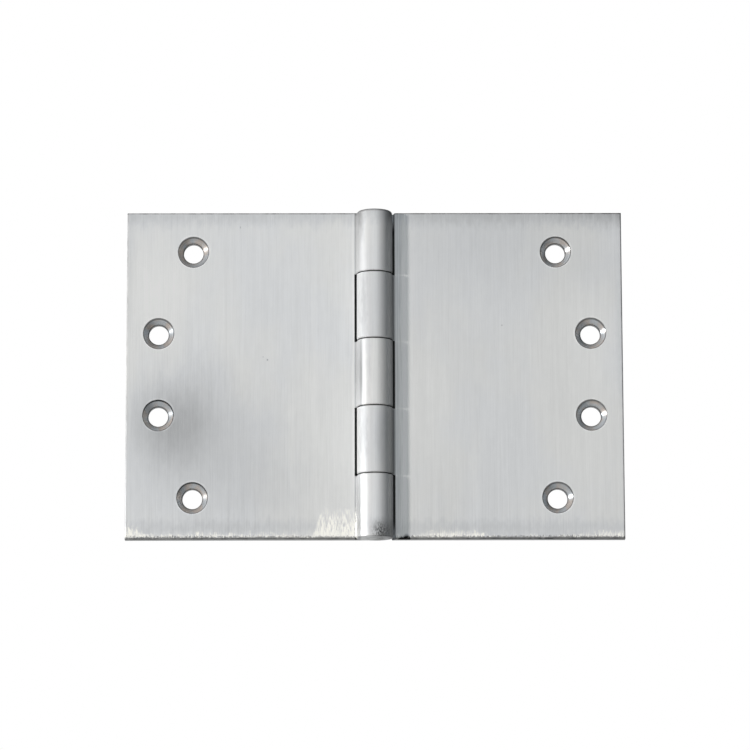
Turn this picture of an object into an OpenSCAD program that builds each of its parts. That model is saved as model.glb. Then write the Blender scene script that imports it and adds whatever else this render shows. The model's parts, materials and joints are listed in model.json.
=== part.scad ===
// Broad butt hinge, opened flat and standing upright as it is fitted.
// Origin: on the pin's axis, halfway up. +Z runs up the pin, X across the leaves,
// and the countersunk faces look towards -Y. All sizes are in millimetres.

/* [Leaves] */
// Height of both leaves and of the barrel, mm
leaf_height = 100; // [90:1:120]
// Overall width with both leaves opened flat, mm
open_width = 150; // [145:1:200]
// Thickness of each leaf, mm
leaf_thickness = 3.5; // [3:0.1:4]
// Radius along the edges of each leaf, mm
edge_radius = 0.5; // [0.2:0.1:0.8]
// How far the barrel stands proud of the leaves' backs, mm
barrel_proud = 0.3; // [0.2:0.1:0.8]

/* [Knuckles] */
// Outside diameter of the knuckles, mm
knuckle_diameter = 10.8; // [10.4:0.1:12]
// Length of each of the three inner knuckles, seam to seam, mm
inner_knuckle_length = 20.5; // [18:0.1:22]
// Gap between one knuckle and the next, mm
knuckle_gap = 0.3; // [0.2:0.05:0.5]
// Chamfer on the knuckle ends at each seam, mm
knuckle_chamfer = 0.25; // [0.1:0.05:0.4]
// Radius on the barrel's top end, mm
top_end_radius = 1; // [0.5:0.1:1.4]
// Radius on the barrel's bottom end, mm
bottom_end_radius = 0.4; // [0.2:0.1:1]
// Radius of the fillet where a leaf runs into its own knuckles, mm
neck_fillet = 0.8; // [0.5:0.1:1]
// Slot beside a knuckle where it passes the other leaf, mm
slot_width = 0.7; // [0.5:0.05:0.9]

/* [Pin] */
// Pin diameter, mm
pin_diameter = 5; // [4:0.1:6]
// Radial running clearance between the pin and the two-knuckle leaf, mm
pin_clearance = 0.05; // [0.02:0.01:0.1]
// Chamfer on the pin ends, mm
pin_chamfer = 0.2; // [0.1:0.05:0.4]

/* [Screw holes] */
// Diameter of the screw holes, mm
hole_diameter = 6; // [4.5:0.1:6.5]
// Diameter of the countersinks at the front face, mm
countersink_diameter = 9.3; // [8:0.1:10]
// Full angle of the countersinks, degrees
countersink_angle = 90; // [80:1:100]
// Height from one screw hole to the next, mm
hole_pitch = 25.1; // [24:0.1:28]
// Distance from a leaf's outer edge to its two middle holes, mm
middle_hole_inset = 9.7; // [8:0.1:14]
// Distance from a leaf's outer edge to its top and bottom holes, mm
end_hole_inset = 20.1; // [16:0.1:26]

/* [Hidden] */
$fn = 96;
overcut = 1;
knuckle_count = 5;
frame_knuckles = [0, 2, 4];
door_knuckles = [1, 3];
knuckle_radius = knuckle_diameter / 2;
leaf_back = knuckle_radius - barrel_proud;
leaf_front = leaf_back - leaf_thickness;
leaf_width = open_width / 2;
slot_radius = knuckle_radius + slot_width;
bore_radius = pin_diameter / 2;
countersink_slope = tan(countersink_angle / 2);
countersink_depth = (countersink_diameter - hole_diameter) / 2 / countersink_slope;
fillet_x = sqrt(pow(knuckle_radius + neck_fillet, 2) - pow(leaf_front - neck_fillet, 2));
metal = [0.74, 0.75, 0.76];
pin_metal = [0.68, 0.69, 0.7];

// The height of seam i, counted from the bottom. The first and last are the barrel's ends.
function seam(i) =
    i == 0 ? -leaf_height / 2 :
    i == knuckle_count ? leaf_height / 2 :
    (i - knuckle_count / 2) * inner_knuckle_length;

// Where knuckle i starts and stops, with half the gap taken off at each seam.
function knuckle_low(i) = seam(i) + (i > 0 ? knuckle_gap / 2 : 0);
function knuckle_high(i) = seam(i + 1) - (i < knuckle_count - 1 ? knuckle_gap / 2 : 0);

module rounded_rectangle(low, high, r) {
    translate([low[0] + r, low[1]])
        square([high[0] - low[0] - 2 * r, high[1] - low[1]]);
    translate([low[0], low[1] + r])
        square([high[0] - low[0], high[1] - low[1] - 2 * r]);
    for (x = [low[0] + r, high[0] - r])
        for (y = [low[1] + r, high[1] - r])
            translate([x, y])
                circle(r);
}

// A leaf's plate before it is notched. It lies on the -X side and ends on the pin's axis.
module plate_blank() {
    intersection() {
        translate([0, 0, -leaf_height / 2])
            linear_extrude(leaf_height)
                rounded_rectangle([-leaf_width, leaf_front], [overcut + edge_radius, leaf_back], edge_radius);
        translate([-leaf_width, 0, 0])
            rotate([90, 0, 90])
                linear_extrude(leaf_width)
                    rounded_rectangle([leaf_front, -leaf_height / 2], [leaf_back, leaf_height / 2], edge_radius);
    }
}

// The round-bottomed notch that lets the other leaf's knuckle i turn.
module notch(i) {
    low = i == 0 ? -leaf_height / 2 - overcut : seam(i) - knuckle_gap / 2;
    high = i == knuckle_count - 1 ? leaf_height / 2 + overcut : seam(i + 1) + knuckle_gap / 2;
    translate([0, leaf_front, low])
        cylinder(r = slot_radius, h = high - low);
}

// One solid knuckle, chamfered at its seams and rounded where it ends the barrel.
module knuckle(i) {
    low = knuckle_low(i);
    high = knuckle_high(i);
    low_edge = i == 0 ? bottom_end_radius : knuckle_chamfer;
    high_edge = i == knuckle_count - 1 ? top_end_radius : knuckle_chamfer;
    rotate_extrude() {
        polygon([
            [0, low],
            [knuckle_radius - low_edge, low],
            [knuckle_radius, low + low_edge],
            [knuckle_radius, high - high_edge],
            [knuckle_radius - high_edge, high],
            [0, high]
        ]);
        if (i == 0)
            translate([knuckle_radius - low_edge, low + low_edge])
                circle(low_edge);
        if (i == knuckle_count - 1)
            translate([knuckle_radius - high_edge, high - high_edge])
                circle(high_edge);
    }
}

// The fillet that blends the leaf's front face into knuckle i.
module neck(i) {
    low = knuckle_low(i) + knuckle_chamfer;
    high = knuckle_high(i) - (i == knuckle_count - 1 ? top_end_radius : knuckle_chamfer);
    translate([0, 0, low])
        linear_extrude(high - low)
            difference() {
                polygon([
                    [-fillet_x, leaf_front + edge_radius],
                    [-fillet_x, leaf_front - neck_fillet],
                    [0, 0],
                    [0, leaf_front + edge_radius]
                ]);
                translate([-fillet_x, leaf_front - neck_fillet])
                    circle(neck_fillet);
            }
}

// Countersunk screw holes in a zigzag: the middle two lie nearer the leaf's outer edge.
module screw_holes() {
    for (i = [0 : 3]) {
        inset = i == 1 || i == 2 ? middle_hole_inset : end_hole_inset;
        translate([-leaf_width + inset, leaf_front, (i - 1.5) * hole_pitch])
            rotate([-90, 0, 0]) {
                translate([0, 0, -overcut])
                    cylinder(d = hole_diameter, h = leaf_thickness + 2 * overcut);
                translate([0, 0, -overcut])
                    cylinder(
                        r1 = countersink_diameter / 2 + overcut * countersink_slope,
                        r2 = hole_diameter / 2,
                        h = countersink_depth + overcut
                    );
            }
    }
}

// A whole leaf on the -X side: its plate, its own knuckles and notches for the others.
module leaf(own, others, bore) {
    difference() {
        union() {
            difference() {
                plate_blank();
                for (i = others)
                    notch(i);
            }
            for (i = own) {
                knuckle(i);
                neck(i);
            }
        }
        screw_holes();
        translate([0, 0, -leaf_height / 2 - overcut])
            cylinder(r = bore, h = leaf_height + 2 * overcut);
    }
}

// Frame leaf, with the top, middle and bottom knuckles. It grips the pin.
module leaf_three_knuckle() {
    color(metal)
        leaf(frame_knuckles, door_knuckles, bore_radius);
}

// Door leaf, with the two knuckles between them. It turns on the pin.
module leaf_two_knuckle() {
    color(metal)
        mirror([1, 0, 0])
            leaf(door_knuckles, frame_knuckles, bore_radius + pin_clearance);
}

// Fixed pin through the whole barrel, flush with both ends.
module hinge_pin() {
    color(pin_metal)
        rotate_extrude()
            polygon([
                [0, -leaf_height / 2],
                [bore_radius - pin_chamfer, -leaf_height / 2],
                [bore_radius, -leaf_height / 2 + pin_chamfer],
                [bore_radius, leaf_height / 2 - pin_chamfer],
                [bore_radius - pin_chamfer, leaf_height / 2],
                [0, leaf_height / 2]
            ]);
}

leaf_three_knuckle();
leaf_two_knuckle();
hinge_pin();
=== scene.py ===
import functools
import json
import math
from types import SimpleNamespace

import bmesh
import bpy
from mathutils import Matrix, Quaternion, Vector


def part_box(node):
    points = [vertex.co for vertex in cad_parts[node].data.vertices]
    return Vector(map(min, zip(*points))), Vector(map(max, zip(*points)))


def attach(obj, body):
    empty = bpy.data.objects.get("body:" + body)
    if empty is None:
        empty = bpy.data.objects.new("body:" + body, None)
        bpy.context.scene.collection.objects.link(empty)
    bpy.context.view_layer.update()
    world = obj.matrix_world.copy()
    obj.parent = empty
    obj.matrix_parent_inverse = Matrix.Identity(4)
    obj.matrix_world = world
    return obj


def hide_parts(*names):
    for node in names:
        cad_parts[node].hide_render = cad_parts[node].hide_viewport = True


MM = 0.001

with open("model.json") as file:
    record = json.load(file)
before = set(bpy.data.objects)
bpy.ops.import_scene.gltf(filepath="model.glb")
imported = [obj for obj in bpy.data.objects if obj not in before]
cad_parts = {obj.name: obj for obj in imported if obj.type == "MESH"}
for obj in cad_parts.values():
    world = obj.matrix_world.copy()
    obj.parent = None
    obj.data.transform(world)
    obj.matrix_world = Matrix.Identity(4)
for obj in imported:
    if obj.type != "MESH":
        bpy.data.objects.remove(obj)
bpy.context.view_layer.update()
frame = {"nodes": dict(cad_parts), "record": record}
mounts = {m["name"]: m for m in frame["record"]["mounts"]}
scene = bpy.context.scene

# ---------------------------------------------------------------- sizes
# From the frame and its record where they hold them. The others repeat part.scad's.
LEAF_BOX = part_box("leaf_three_knuckle")
LEAF_BACK = mounts["frame_leaf_back"]["pos_m"][1]
LEAF_THICKNESS = 3.5 * MM
LEAF_FRONT = LEAF_BACK - LEAF_THICKNESS
HALF_HEIGHT = (LEAF_BOX[1].z - LEAF_BOX[0].z) / 2
HALF_WIDTH = -LEAF_BOX[0].x
BARREL_R = -LEAF_BOX[0].y
NOTCH_R = BARREL_R + 0.7 * MM  # the round-bottomed notches, past the slot beside the knuckles
RIM_R = 4.65 * MM  # the countersinks' rims
EDGE_WIDTH = 0.1 * MM  # how far the leaves' sharp edges are softened
TOP = HALF_HEIGHT / MM  # the materials work in mm
RIM_LIFT = 0.25  # mm: how far the painted shadow line over each rim reaches above it
PAINTED_GLINT_HEIGHT = 10.0  # mm: the most that the polished foot's painted glint reaches

# ---------------------------------------------------------------- mesh settings
WELD_DISTANCE = 1e-6
FLAT_ANGLE = math.radians(0.3)  # faces within this of each other are made one flat
COPLANAR_ANGLE = 0.002  # faces within this of each other, in radians, count as one region
SHARP_ANGLE = math.radians(40)  # edges past this are softened
SMOOTH_ANGLE = math.radians(38)  # faces within this of each other are shaded as one surface
SATIN, TURNED, RECESS = 0, 1, 2  # a leaf's material slots


def hole_centres():
    """(x, z) of every screw hole, from the record's bolt patterns."""
    out = []
    for m in mounts.values():
        if m["kind"] == "bolt_pattern":
            x, _, z = m["pos_m"]
            half = m["dims"]["spacing_y_mm"] * MM / 2
            out += [(x, z - half), (x, z + half)]
    return out


HOLES = hole_centres()


# ---------------------------------------------------------------- meshes
def coplanar_regions(bm):
    """The area of the flat region that each face lies in."""
    region = {}
    area = []
    for seed in bm.faces:
        if seed in region:
            continue
        index = len(area)
        area.append(0.0)
        region[seed] = index
        stack = [seed]
        while stack:
            face = stack.pop()
            area[index] += face.calc_area()
            for edge in face.edges:
                for other in edge.link_faces:
                    if other not in region and face.normal.angle(other.normal, 0) < COPLANAR_ANGLE:
                        region[other] = index
                        stack.append(other)
    return {face: area[index] for face, index in region.items()}


def smooth_fan(face, vert, limit):
    """The faces round a corner that meet one after another at less than the limit."""
    fan = {face}
    stack = [face]
    while stack:
        here = stack.pop()
        for edge in here.edges:
            if vert not in edge.verts or len(edge.link_faces) != 2:
                continue
            for other in edge.link_faces:
                if other not in fan and here.normal.angle(other.normal, 0) < limit:
                    fan.add(other)
                    stack.append(other)
    return fan


def smooth_normals(bm, limit):
    """A normal for each corner, averaged over its smooth fan. Large flats outweigh small faces."""
    weight = coplanar_regions(bm)
    normals = []
    for face in bm.faces:
        for corner in face.loops:
            total = Vector((0.0, 0.0, 0.0))
            for near in smooth_fan(face, corner.vert, limit):
                at = next(c for c in near.loops if c.vert == corner.vert)
                total += near.normal * weight[near] * at.calc_angle()
            normals.append(total.normalized() if total.length > 0 else face.normal.copy())
    return normals


def hole_distance(co):
    """How far a point is from the nearest screw hole's axis."""
    return min(math.hypot(co.x - x, co.z - z) for x, z in HOLES)


def is_sharp(edge):
    return edge.is_manifold and edge.is_convex and edge.calc_face_angle(0) > SHARP_ANGLE


def soften_edges(bm, width):
    """Rounds the sharp edges."""
    bmesh.ops.bevel(
        bm, geom=[e for e in bm.edges if is_sharp(e)], offset=width, offset_type="OFFSET",
        segments=2, profile=0.5, affect="EDGES", clamp_overlap=True,
    )


def surface_kind(face):
    """Which of a leaf's three materials a face has."""
    at = face.calc_center_median()
    facing = face.normal
    on_hole_wall = -0.85 < facing.y < 0.5  # a cone or a throat, not the leaf's front or back
    if on_hole_wall and hole_distance(at) < RIM_R:
        return TURNED
    at_seam = abs(facing.z) > 0.8 and abs(at.z) < HALF_HEIGHT - 1 * MM
    from_axis = Vector((at.x, at.y - LEAF_FRONT, 0.0))
    faces_axis = facing.dot(from_axis.normalized()) < -0.9
    on_notch = faces_axis and abs(from_axis.length - NOTCH_R) < 0.05 * MM
    return RECESS if at_seam or on_notch else SATIN


def build_piece(name, node, body, materials, edge_width=0.0):
    """A finished piece from a CAD node's own shape: welded, its flats made whole, its edges softened."""
    mesh = frame["nodes"][node].data.copy()
    mesh.materials.clear()
    for material in materials:
        mesh.materials.append(material)
    bm = bmesh.new()
    bm.from_mesh(mesh)
    bmesh.ops.remove_doubles(bm, verts=bm.verts, dist=WELD_DISTANCE)
    bmesh.ops.dissolve_limit(bm, angle_limit=FLAT_ANGLE, verts=bm.verts, edges=bm.edges)
    bm.normal_update()
    if edge_width > 0:
        soften_edges(bm, edge_width)
        bm.normal_update()
    for face in bm.faces:
        face.smooth = True
        face.material_index = surface_kind(face) if len(materials) > 1 else SATIN
    normals = smooth_normals(bm, SMOOTH_ANGLE)
    bm.to_mesh(mesh)
    bm.free()
    mesh.normals_split_custom_set([tuple(normal) for normal in normals])
    obj = bpy.data.objects.new(name, mesh)
    scene.collection.objects.link(obj)
    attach(obj, body)
    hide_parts(node)
    return obj


# ---------------------------------------------------------------- material helpers
class Nodes:
    """Short names for building a node tree."""

    def __init__(self, tree):
        self.tree = tree
        tree.nodes.clear()

    def add(self, kind, **settings):
        node = self.tree.nodes.new(kind)
        for key, value in settings.items():
            setattr(node, key, value)
        return node

    def join(self, source, target):
        self.tree.links.new(source, target)

    def feed(self, socket, value):
        if isinstance(value, bpy.types.NodeSocket):
            self.join(value, socket)
        else:
            socket.default_value = value

    def math(self, operation, a, b=0.0):
        node = self.add("ShaderNodeMath", operation=operation)
        self.feed(node.inputs[0], a)
        self.feed(node.inputs[1], b)
        return node.outputs[0]

    def fold(self, operation, values):
        """The operation over all the values, taken in order."""
        return functools.reduce(functools.partial(self.math, operation), values)

    def total(self, values):
        return self.fold("ADD", values)

    def product(self, values):
        return self.fold("MULTIPLY", values)

    def ramp(self, value, low, high, to_low=0.0, to_high=1.0, kind="SMOOTHSTEP"):
        """From to_low at low, smoothly, to to_high at high, and level beyond them."""
        node = self.add("ShaderNodeMapRange", interpolation_type=kind)
        for socket, number in zip(node.inputs, (value, low, high, to_low, to_high)):
            self.feed(socket, number)
        return node.outputs[0]

    def line(self, value, low, high, to_low, to_high):
        """As ramp does, but in a straight line."""
        return self.ramp(value, low, high, to_low, to_high, "LINEAR")

    def scaled(self, vector, scale, offset=(0.0, 0.0, 0.0)):
        node = self.add("ShaderNodeVectorMath", operation="MULTIPLY_ADD")
        self.feed(node.inputs[0], vector)
        node.inputs[1].default_value = scale
        node.inputs[2].default_value = offset
        return node.outputs[0]

    def length(self, vector):
        node = self.add("ShaderNodeVectorMath", operation="LENGTH")
        self.feed(node.inputs[0], vector)
        return node.outputs["Value"]

    def tinted(self, colour, level):
        """A colour times a number."""
        node = self.add("ShaderNodeVectorMath", operation="SCALE")
        self.feed(node.inputs[0], colour)
        self.feed(node.inputs["Scale"], level)
        return node.outputs[0]

    def separate(self, vector):
        node = self.add("ShaderNodeSeparateXYZ")
        self.join(vector, node.inputs[0])
        return node.outputs

    def spots(self, place, patches):
        """A soft ellipse in the leaf's plane for each patch, which is a centre, a radius and an amount."""
        out = []
        for (x, z), (wide, high), amount in patches:
            from_centre = self.scaled(place, (1 / wide, 0.0, 1 / high), (-x / wide, 0.0, -z / high))
            out.append(self.ramp(self.length(from_centre), 0.0, 1.0, amount, 0.0))
        return out

    def noise(self, vector, scale, detail=3.0, roughness=0.5, output="Fac"):
        node = self.add("ShaderNodeTexNoise")
        self.feed(node.inputs["Vector"], vector)
        node.inputs["Scale"].default_value = scale
        node.inputs["Detail"].default_value = detail
        node.inputs["Roughness"].default_value = roughness
        return node.outputs[output]

    def mix(self, factor, a, b):
        node = self.add("ShaderNodeMix", data_type="RGBA")
        self.feed(node.inputs[0], factor)
        self.feed(node.inputs[6], a)
        self.feed(node.inputs[7], b)
        return node.outputs[2]

    def bump(self, height, strength):
        node = self.add("ShaderNodeBump")
        node.inputs["Strength"].default_value = strength
        node.inputs["Distance"].default_value = 0.03 * MM
        self.join(height, node.inputs["Height"])
        return node.outputs[0]


def new_material(name):
    mat = bpy.data.materials.new(name)
    mat.use_nodes = True
    return mat, Nodes(mat.node_tree)


def metal_shader(n, colour, rough, metallic):
    """A Principled shader fed by the given sockets or numbers."""
    out = n.add("ShaderNodeOutputMaterial")
    shader = n.add("ShaderNodeBsdfPrincipled")
    n.join(shader.outputs[0], out.inputs[0])
    n.feed(shader.inputs["Base Color"], colour)
    n.feed(shader.inputs["Roughness"], rough)
    n.feed(shader.inputs["Metallic"], metallic)
    return shader


def millimetres(n):
    """The place on the piece in mm, in the frame's axes."""
    return n.scaled(n.add("ShaderNodeTexCoord").outputs["Object"], (1 / MM, 1 / MM, 1 / MM))


# ---------------------------------------------------------------- satin chrome
def satin_inputs(n, seed):
    """The place in mm, and the noises that the satin chrome is made of. The brushing runs upright."""
    s = SimpleNamespace()
    s.place = millimetres(n)
    s.shifted = n.scaled(s.place, (1, 1, 1), (seed, seed, seed))
    s.x, s.y, s.z = n.separate(s.place)
    s.from_pin = n.length(n.scaled(s.place, (1, 1, 0)))
    s.above = n.math("ADD", s.z, TOP)  # the height above the leaf's bottom
    s.grain = n.noise(n.scaled(s.shifted, (2.6, 2.6, 0.06)), 1.0, 4.0, 0.6)
    s.fine = n.noise(n.scaled(s.shifted, (5.2, 5.2, 0.16)), 1.0, 2.0)
    s.broad = n.noise(n.scaled(s.shifted, (0.7, 0.7, 0.03)), 1.0, 2.0)
    s.cloud = n.noise(n.scaled(s.shifted, (1, 1, 0.7)), 0.03, 3.0, 0.55)
    s.mottle = n.noise(n.scaled(s.shifted, (1, 1, 0.5)), 0.45, 3.0, 0.6)
    s.speckle = n.noise(n.scaled(s.shifted, (4.0, 4.0, 1.6)), 1.0, 3.0, 0.7)
    s.brush = n.math("ADD", n.math("MULTIPLY", s.grain, 0.65), n.math("MULTIPLY", s.fine, 0.35))
    return s


def bottom_painted_shade(n, s):
    """Painted shade: the rounded bottom edge is dark, with a speckled border, and so is the face below it.
    """
    low_line = n.math("ADD", s.above, n.line(s.speckle, 0.35, 0.65, 0.25, -0.65))
    return n.product([
        n.ramp(low_line, 0.45, 0.75, 1.0, 0.0),
        n.ramp(s.from_pin, 5.5, 6.0),
        n.ramp(s.y, 4.4, 5.0, 1.0, 0.0),
    ])


def polished_foot_painted_glint(n, s, painted_glint_reach, painted_bottom_shade):
    """The flat front's bright foot, a painted glint: solid at the bottom, then in streaks that thin out
    upwards.
    """
    reach = n.total(n.spots(s.place, painted_glint_reach) + [n.ramp(s.mottle, 0.3, 0.7, -0.3, 0.9)])
    reach = n.math("MINIMUM", reach, PAINTED_GLINT_HEIGHT)
    climb = n.math("DIVIDE", s.above, n.math("MAXIMUM", reach, 0.05))
    fade = n.line(climb, 0.0, 1.0, 1.1, -0.25)
    front = n.product([n.ramp(s.y, 1.9, 2.4, 1.0, 0.0), n.ramp(s.from_pin, 5.4, 5.8)])
    streak = n.noise(n.scaled(s.shifted, (3.6, 3.6, 0.45)), 1.0, 3.0, 0.65)
    density = n.math("ADD", fade, n.line(streak, 0.4, 0.6, -0.45, 0.7))
    return n.product([
        n.ramp(density, 0.4, 0.75),
        front,
        n.ramp(s.speckle, 0.36, 0.46, 0.6, 1.0),
        n.math("SUBTRACT", 1.0, painted_bottom_shade),
    ])


def hole_rims(n, s, side):
    """Round the screw holes on one side: a painted shadow line along the top of each rim, and a faint bright
    one.
    """
    gaps = [
        n.length(n.scaled(s.place, (1, 0, 1), (-x / MM, 0.0, -z / MM - RIM_LIFT)))
        for x, z in HOLES if x * side > 0
    ]
    past_rim = n.math("SUBTRACT", n.fold("MINIMUM", gaps), RIM_R / MM)
    # painted shadow line along the top of each rim
    dark = n.ramp(past_rim, 0.0, 0.15, -0.8, 0.0)
    bright = n.product([
        n.ramp(past_rim, 0.12, 0.3),
        n.ramp(past_rim, 0.3, 0.8, 0.16, 0.0),
        n.ramp(s.mottle, 0.35, 0.6),
    ])
    return n.product([n.ramp(s.y, 1.7, 2.0, 1.0, 0.0), n.total([dark, bright])])


def painted_edge_shade(n, s):
    """Painted shade: the leaf's edges are darker in patches, mostly on the front and most of all along the
    top.
    """
    side_gap = n.math("SUBTRACT", HALF_WIDTH / MM, n.math("ABSOLUTE", s.x))
    end_gap = n.math("SUBTRACT", TOP, n.math("ABSOLUTE", s.z))
    return n.product([
        n.ramp(n.math("MINIMUM", side_gap, end_gap), 0.1, 0.6, 1.0, 0.0),
        n.ramp(s.mottle, 0.35, 0.6, -0.22, -0.06),
        n.ramp(s.y, 1.9, 2.3, 1.0, 0.3),
        n.ramp(s.z, TOP - 0.7, TOP - 0.4, 1.0, 2.6),
    ])


def ragged_place(n, s):
    """The place, pushed about by noise so that the haze, with its painted reflections and shade, has ragged
    borders.
    """
    wobble = n.noise(n.scaled(s.shifted, (1, 1, 0.4)), 0.8, output="Color")
    node = n.add("ShaderNodeVectorMath", operation="ADD")
    n.join(s.place, node.inputs[0])
    n.join(n.scaled(wobble, (2.0, 0.0, 6.0), (-1.0, 0.0, -3.0)), node.inputs[1])
    return node.outputs[0]


def satin_colour(n, s, finish, painted_bottom_shade):
    """The chrome's colour: its base times all that darkens or lightens it, painted shade and reflections
    among them, warmer where it is brighter.
    """
    # The haze and grime patches: painted reflection and shade, with real pits and uneven tone. They count on
    # the front and the knuckles, not the back.
    haze_and_painted_reflection = n.spots(ragged_place(n, s), finish["haze_and_painted_reflection"])
    patches = n.total(haze_and_painted_reflection + n.spots(s.place, finish["grime_and_painted_shading"]))
    contrast = n.total(n.spots(s.place, finish["scuffs"]) + [1.0])
    brushing = n.total([
        n.line(s.brush, 0.3, 0.7, -0.045, 0.045),
        n.line(s.broad, 0.3, 0.7, -0.018, 0.018),
    ])
    stains = n.total(n.spots(s.place, finish["stains"]))
    tone = n.total([
        n.product([patches, n.ramp(s.y, 2.5, 4.0, 1.0, 0.0)]),
        n.product([contrast, brushing]),
        n.ramp(s.cloud, 0.3, 0.7, -0.025, 0.025),
        n.ramp(s.mottle, 0.3, 0.7, -0.012, 0.012),
        # painted shade along the bottom edge
        n.math("MULTIPLY", painted_bottom_shade, -0.55),
        n.product([stains, n.ramp(s.speckle, 0.4, 0.6, 0.35, 1.0)]),
        hole_rims(n, s, finish["side"]),
        painted_edge_shade(n, s),
        1.0,
    ])
    # Cooler where the painted shade darkens it.
    warmth = n.math("ADD", patches, n.ramp(s.cloud, 0.35, 0.65, -0.1, 0.1))
    tint = n.mix(n.ramp(warmth, -0.16, 0.08), (0.985, 1.0, 1.02, 1.0), (0.996, 1.0, 0.992, 1.0))
    return n.tinted(n.scaled(tint, finish["base"]), tone)


def satin_material(name, finish):
    """Satin chrome: fine upright brushing, soft haze, edges darkened in patches, and a streaky polished
    foot. The haze and the edges hold painted reflection and shade, the bottom edge painted shade, and the
    foot a painted glint.

    finish is FRAME_FINISH or DOOR_FINISH, and the comment above them says what each entry is.
    """
    mat, n = new_material(name)
    s = satin_inputs(n, finish["seed"])
    painted_bottom_shade = bottom_painted_shade(n, s)
    painted_glint = polished_foot_painted_glint(n, s, finish["painted_glint_reach"], painted_bottom_shade)
    # The painted glint turns the colour warm white.
    colour = n.mix(painted_glint, satin_colour(n, s, finish, painted_bottom_shade), (0.985, 1.0, 0.94, 1.0))
    rough = n.total([
        n.line(s.brush, 0.3, 0.7, -0.02, 0.02),
        n.ramp(s.cloud, 0.3, 0.7, 0.34, 0.37),
        n.ramp(s.mottle, 0.3, 0.7, -0.01, 0.01),
    ])
    # The painted glint is less metallic, so it stays bright from any side.
    shader = metal_shader(n, colour, rough, n.line(painted_glint, 0.0, 1.0, 0.6, 0.15))
    height = n.math("ADD", s.grain, n.math("MULTIPLY", s.mottle, 0.6))
    n.join(n.bump(height, 0.05), shader.inputs["Normal"])
    shader.inputs["Anisotropic"].default_value = 0.5
    tangent = n.add("ShaderNodeTangent", direction_type="RADIAL", axis="Z")
    n.join(tangent.outputs[0], shader.inputs["Tangent"])
    return mat


# ---------------------------------------------------------------- the other two materials
def turned_material():
    """The countersinks: darker bare metal with turning marks, a painted shadow line at each rim, painted
    shade deep in the throat and uneven tarnish.
    """
    mat, n = new_material("turned_countersink")
    place = millimetres(n)
    depth = n.math("SUBTRACT", n.separate(place)[1], LEAF_FRONT / MM)
    rings = n.noise(n.scaled(place, (0.04, 9.0, 0.04)), 1.0, 2.0, 0.6)
    tarnish = n.ramp(n.noise(place, 0.35, 2.0), 0.4, 0.62)
    patina = n.mix(tarnish, (0.68, 0.73, 0.77, 1.0), (0.74, 0.69, 0.65, 1.0))
    # painted shade: a dark line at the rim, and darker deep in the throat
    lip = n.ramp(depth, 0.05, 0.3, 0.3, 1.0)
    throat = n.ramp(depth, 1.3, 1.6, 1.0, 0.15)
    tone = n.product([lip, throat, n.line(rings, 0.3, 0.7, 0.8, 1.2)])
    shader = metal_shader(n, n.tinted(patina, tone), n.ramp(rings, 0.3, 0.7, 0.19, 0.27), 0.62)
    n.join(n.bump(rings, 0.1), shader.inputs["Normal"])
    return mat


def recess_material():
    """The slots beside the knuckles and the seams' faces: dull, and painted black as shade, with painted
    light towards the ends.
    """
    mat, n = new_material("recess_painted_shade")
    place = millimetres(n)
    high = n.math("ABSOLUTE", n.separate(place)[2])
    grime_and_painted_shading = n.ramp(n.noise(place, 0.6, 3.0, 0.6), 0.3, 0.7, 0.6, 1.4)
    # painted light towards the ends of the barrel; near black painted shade elsewhere
    ends_painted_light = n.ramp(high, TOP - 7, TOP)
    level = n.math("MULTIPLY", grime_and_painted_shading, n.ramp(ends_painted_light, 0.0, 1.0, 0.025, 0.6))
    colour = n.tinted((0.95, 1.0, 1.05), level)
    shader = metal_shader(n, colour, n.ramp(grime_and_painted_shading, 0.6, 1.4, 0.45, 0.65), 0.0)
    shader.inputs["Specular IOR Level"].default_value = 0.1
    return mat


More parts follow.
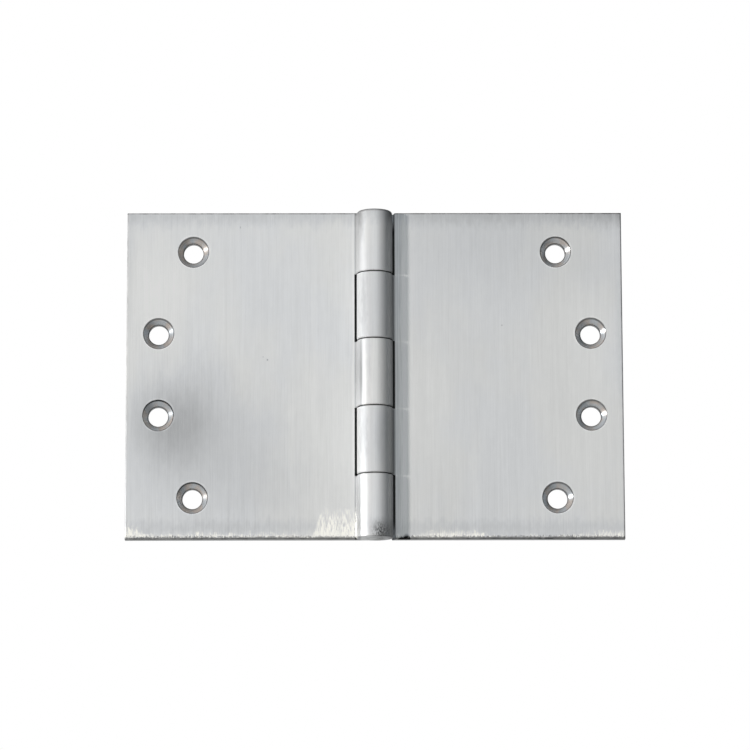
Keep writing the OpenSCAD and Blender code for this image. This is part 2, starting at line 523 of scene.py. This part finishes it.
# ---------------------------------------------------------------- each leaf's finish
# side is the leaf's sign along X, base its colour, and seed moves the noise so that the leaves don't match.
# A patch is a centre (x, z) in mm, a radius (x, z) in mm, and how much. A long radius makes a stripe.
# The haze is soft ragged patches, lighter or darker: mostly uneven tone, but those on the knuckles and the
# bands along the top and bottom are painted reflection and shade. The grime is sharper ones: a few real
# pits, and painted shade and light on the knuckles' flanks, along the edge of the barrel's shadow and in the
# door leaf's lower corner beside it. Both shade the knuckles too. Speckles break up the stains. The scuffs
# say where the brushing is rougher, and the list after them how many mm up the front the polished foot's
# painted glint reaches.
FRAME_FINISH = {
    "side": -1,
    # lighter than the door leaf's base: painted light, as this leaf stands in more light
    "base": (0.93, 0.94, 0.938),
    "seed": 0.0,
    "haze_and_painted_reflection": [
        ((-66, 27), (17, 22), 0.05),
        ((-62, -15), (19, 19), -0.20),
        ((-58, -15), (28, 27), -0.14),
        ((-46, -18), (40, 32), -0.05),
        ((-40, -38), (50, 22), -0.08),
        ((-50, -20), (30, 30), -0.05),
        # painted reflection: a darker band along the top
        ((-40, 50), (400, 6), -0.16),
        ((-76, 35), (5, 40), -0.10),
        ((-30, 0), (22, 60), -0.02),
        ((-33, -28), (20, 28), -0.05),
        ((-50, 2), (12, 14), -0.04),
        # painted reflection: these two shape the knuckles' highlight
        ((-4.0, 46), (1.6, 9), -0.22),
        ((-2.0, 0), (1.3, 22), -0.10),
        # painted shade: a darker band along the bottom
        ((-40, -46.5), (400, 3.5), -0.11),
        ((-18.5, 10), (1.4, 40), 0.035),
        ((-25, -20), (1.6, 30), 0.03),
        ((-9, 20), (2.0, 30), 0.02),
    ],
    "grime_and_painted_shading": [
        # painted shade on the knuckles' right flanks
        ((5.2, 0), (2.2, 400), -0.6),
        # painted light and shade along the crease and on the knuckles' left flanks, shaping their highlight
        ((-6.35, 0), (0.5, 400), 0.12),
        ((-5.75, 0), (0.5, 400), -0.3),
        ((-5.1, 42), (1.7, 30), -0.30),
        ((-5.1, 0), (1.6, 24), -0.38),
        ((-4.1, 0), (0.8, 24), -0.50),
        ((-5.4, -42), (1.4, 30), -0.36),
        ((-4.6, -42), (0.7, 30), -0.30),
        # real pits
        ((-32.4, 4.6), (0.4, 0.5), -0.5),
        ((-33.7, 5.5), (0.3, 0.3), -0.3),
        ((-40.7, 45.5), (0.3, 0.6), -0.3),
    ],
    "stains": [
        ((1.6, -49), (4.2, 5.5), -0.9),
    ],
    "scuffs": [
        ((-50, -50), (60, 14), 1.0),
    ],
    "painted_glint_reach": [
        ((-76, -50), (10, 60), 5.0),
        ((-42, -50), (60, 60), 2.0),
        ((-8, -50), (11.5, 60), 40.0),
    ],
}
DOOR_FINISH = {
    "side": 1,
    # darker than the frame leaf's base: painted shade, as this leaf stands in less light
    "base": (0.86, 0.87, 0.868),
    "seed": 57.0,
    "haze_and_painted_reflection": [
        ((42, 46), (44, 32), -0.10),
        # painted reflection: a darker band along the top
        ((40, 50), (400, 6), -0.18),
        ((74, 53), (30, 12), -0.22),
        ((76, 20), (4, 60), -0.14),
        ((66, 10), (12, 40), 0.06),
        ((66, 32), (14, 20), -0.06),
        ((64, -28), (16, 18), 0.025),
        ((17, -10), (14, 34), 0.06),
        # painted reflection: these four shape the knuckles' highlight
        ((-3.3, 20), (1.5, 18), -0.22),
        ((-3.3, -20), (1.4, 18), -0.22),
        ((-4.4, -20), (0.8, 18), -0.10),
        ((1.4, -20), (2.6, 14), -0.12),
        ((30, -24), (2.6, 32), 0.035),
        ((16.5, -5), (1.6, 40), 0.03),
        ((48, 0), (2.4, 24), 0.02),
        # painted shade: a darker band along the bottom
        ((40, -46.5), (400, 3.5), -0.10),
    ],
    "grime_and_painted_shading": [
        # painted shade on the knuckles' right flanks
        ((5.2, 0), (2.2, 400), -0.6),
        # painted light that trims the edge of the barrel's shadow
        ((6.45, 0), (0.5, 400), 0.3),
        ((8.0, 0), (2.4, 400), 0.05),
        ((9.0, 0), (1.6, 400), 0.15),
        ((10.6, 0), (3.0, 400), 0.04),
        # painted shade in the lower corner beside the barrel
        ((9.4, -50.4), (1.5, 2.5), -2.0),
        ((7.9, -50.6), (1.7, 1.6), -1.6),
        # a real pit
        ((38.5, 15.2), (0.4, 0.3), -0.4),
        # painted highlight at the foot of the barrel's shadow
        ((6.9, -49.3), (0.7, 1.3), 0.5),
    ],
    "stains": [
        ((60, -51), (40, 4), -0.15),
    ],
    "scuffs": [
        ((8, 0), (3.0, 400), 4.0),
        ((30, -50), (60, 30), 0.5),
    ],
    "painted_glint_reach": [
        ((24, -50), (15, 60), 2.2),
        ((50, -50), (400, 60), 1.1),
        ((76, -50), (26, 60), 1.4),
    ],
}


# ---------------------------------------------------------------- studio
FLOOR_Z = -0.30
FLOOR_SIDE = 6.0
CAMERA_DISTANCE = 1.15
CAMERA_AZIMUTH = -0.43
CAMERA_ELEVATION = -10.2
CAMERA_ROLL = -0.144
CAMERA_TARGET = Vector((0.06, 0, -0.37)) * MM

# How bright the surroundings are at each azimuth in degrees: bright to the left, dark to the right.
SURROUNDINGS = [
    (-180, 0.35), (-130, 0.15), (-98, 0.12), (-90, 0.25), (-80, 0.55), (-68, 0.6), (-56, 0.42),
    (-28, 0.34), (-12, 0.56), (0, 0.62), (14, 0.60), (32, 0.34), (60, 0.16), (100, 0.05),
    (125, 0.10), (180, 0.35),
]


def make_floor():
    """A pale floor, which the metal doesn't mirror."""
    mesh = bpy.data.meshes.new("floor")
    corners = [(-1, -1), (1, -1), (1, 1), (-1, 1)]
    mesh.from_pydata([(x * FLOOR_SIDE, y * FLOOR_SIDE, FLOOR_Z) for x, y in corners], [], [(0, 1, 2, 3)])
    floor = bpy.data.objects.new("floor", mesh)
    scene.collection.objects.link(floor)
    mat, n = new_material("pale_floor")
    out = n.add("ShaderNodeOutputMaterial")
    shader = n.add("ShaderNodeBsdfDiffuse")
    cloud = n.noise(n.add("ShaderNodeTexCoord").outputs["Object"], 3.0)
    n.join(n.mix(cloud, (0.84, 0.84, 0.84, 1), (0.88, 0.88, 0.88, 1)), shader.inputs["Color"])
    n.join(shader.outputs[0], out.inputs[0])
    mesh.materials.append(mat)
    floor.visible_diffuse = False
    floor.visible_glossy = False
    return floor


def surroundings_ramp(n, azimuth):
    """The colour of the surroundings at an azimuth in radians."""
    node = n.add("ShaderNodeValToRGB")
    ramp = node.color_ramp
    ramp.interpolation = "EASE"
    while len(ramp.elements) < len(SURROUNDINGS):
        ramp.elements.new(0.5)
    for element, (degrees, level) in zip(ramp.elements, SURROUNDINGS):
        element.position = degrees / 360 + 0.5
        element.color = (level * 0.96, level, level * 1.03, 1)
    turn = n.math("ADD", n.math("DIVIDE", azimuth, 2 * math.pi), 0.5)
    n.join(turn, node.inputs[0])
    return node.outputs[0]


def background(n, colour, strength):
    node = n.add("ShaderNodeBackground")
    n.feed(node.inputs["Color"], colour)
    n.feed(node.inputs["Strength"], strength)
    return node.outputs[0]


def mix_shaders(n, factor, a, b):
    node = n.add("ShaderNodeMixShader")
    n.join(factor, node.inputs[0])
    n.join(a, node.inputs[1])
    n.join(b, node.inputs[2])
    return node.outputs[0]


def make_world():
    """White to the camera. To everything else, the surroundings above the horizon and a dim ground below."""
    world = bpy.data.worlds.new("studio")
    world.use_nodes = True
    scene.world = world
    n = Nodes(world.node_tree)
    out = n.add("ShaderNodeOutputWorld")
    x, y, z = n.separate(n.add("ShaderNodeTexCoord").outputs["Generated"])
    azimuth = n.math("ARCTAN2", x, n.math("MULTIPLY", y, -1.0))
    lit = background(n, surroundings_ramp(n, azimuth), n.ramp(z, 0.35, 0.85, 1.0, 0.24))
    straight_down = n.ramp(z, -0.97, -0.75, 0.14, 0.0)
    ground_level = n.math("ADD", n.ramp(y, 0.2, 0.9, 0.14, 0.7), straight_down)
    ground = background(n, (0.99, 1.0, 1.0, 1), ground_level)
    round_about = mix_shaders(n, n.ramp(z, -0.12, 0.0), ground, lit)
    seen = background(n, (1, 1, 1, 1), 1.0)
    to_camera = n.add("ShaderNodeLightPath").outputs["Is Camera Ray"]
    n.join(mix_shaders(n, to_camera, round_about, seen), out.inputs[0])


def towards(azimuth, elevation):
    """The unit vector from the hinge at that azimuth, 0 being -Y and 90 +X, and elevation, in degrees."""
    a, e = math.radians(azimuth), math.radians(elevation)
    return Vector((math.sin(a) * math.cos(e), -math.cos(a) * math.cos(e), math.sin(e)))


def aim_lamp(lamp, azimuth, elevation):
    """Turns a lamp to shine on the hinge from that direction."""
    lamp.rotation_mode = "QUATERNION"
    lamp.rotation_quaternion = towards(azimuth, elevation).to_track_quat("Z", "Y")


def add_sun(name, strength, angle):
    """A soft sun that the metal doesn't mirror. It shines straight down until it is aimed."""
    data = bpy.data.lights.new(name, "SUN")
    data.energy = strength
    data.angle = math.radians(angle)
    lamp = bpy.data.objects.new(name, data)
    lamp.visible_glossy = False
    scene.collection.objects.link(lamp)
    return lamp


def add_glint(name, azimuth, elevation, side, watts):
    """A small square lamp a metre away that only shows in reflections."""
    data = bpy.data.lights.new(name, "AREA")
    data.shape = "SQUARE"
    data.size = side
    data.energy = watts
    lamp = bpy.data.objects.new(name, data)
    lamp.location = towards(azimuth, elevation)
    aim_lamp(lamp, azimuth, elevation)
    lamp.visible_camera = False
    lamp.visible_diffuse = False
    scene.collection.objects.link(lamp)


def make_lights(floor):
    """A low key from the left, two glints for the barrel and the countersinks, and a lamp for the floor."""
    key = add_sun("key", strength=3.6, angle=5)
    key.data.color = (1.06, 1.0, 0.96)
    aim_lamp(key, azimuth=-50, elevation=2)
    add_glint("side_box", azimuth=-78, elevation=-3, side=0.10, watts=3.2)
    add_glint("low_box", azimuth=60, elevation=-40, side=0.05, watts=10.0)
    overhead = add_sun("overhead", strength=3.4, angle=40)
    floor_only = bpy.data.collections.new("floor_only")
    floor_only.objects.link(floor)
    overhead.light_linking.receiver_collection = floor_only


def make_camera():
    """Where the photograph was taken from: about 10 degrees below the leaves' normal."""
    data = bpy.data.cameras.new("camera")
    data.sensor_width = 36
    data.lens = 183.2
    data.clip_start = 0.05
    data.clip_end = 50
    camera = bpy.data.objects.new("camera", data)
    back = towards(CAMERA_AZIMUTH, CAMERA_ELEVATION)
    camera.location = CAMERA_TARGET + back * CAMERA_DISTANCE
    camera.rotation_mode = "QUATERNION"
    roll = Quaternion((0, 0, 1), math.radians(CAMERA_ROLL))
    camera.rotation_quaternion = (-back).to_track_quat("-Z", "Y") @ roll
    scene.collection.objects.link(camera)
    scene.camera = camera


# ---------------------------------------------------------------- the hinge in its studio
turned = turned_material()
recess = recess_material()
frame_metals = [satin_material("frame_satin_chrome", FRAME_FINISH), turned, recess]
door_metals = [satin_material("door_satin_chrome", DOOR_FINISH), turned, recess]
build_piece("frame_leaf", "leaf_three_knuckle", "frame_leaf", frame_metals, EDGE_WIDTH)
build_piece("door_leaf", "leaf_two_knuckle", "door_leaf", door_metals, EDGE_WIDTH)
build_piece("fixed_pin", "hinge_pin", "frame_leaf", frame_metals[:1])

floor = make_floor()
make_world()
make_lights(floor)
make_camera()
scene.view_settings.view_transform = "Standard"
scene.view_settings.look = "None"
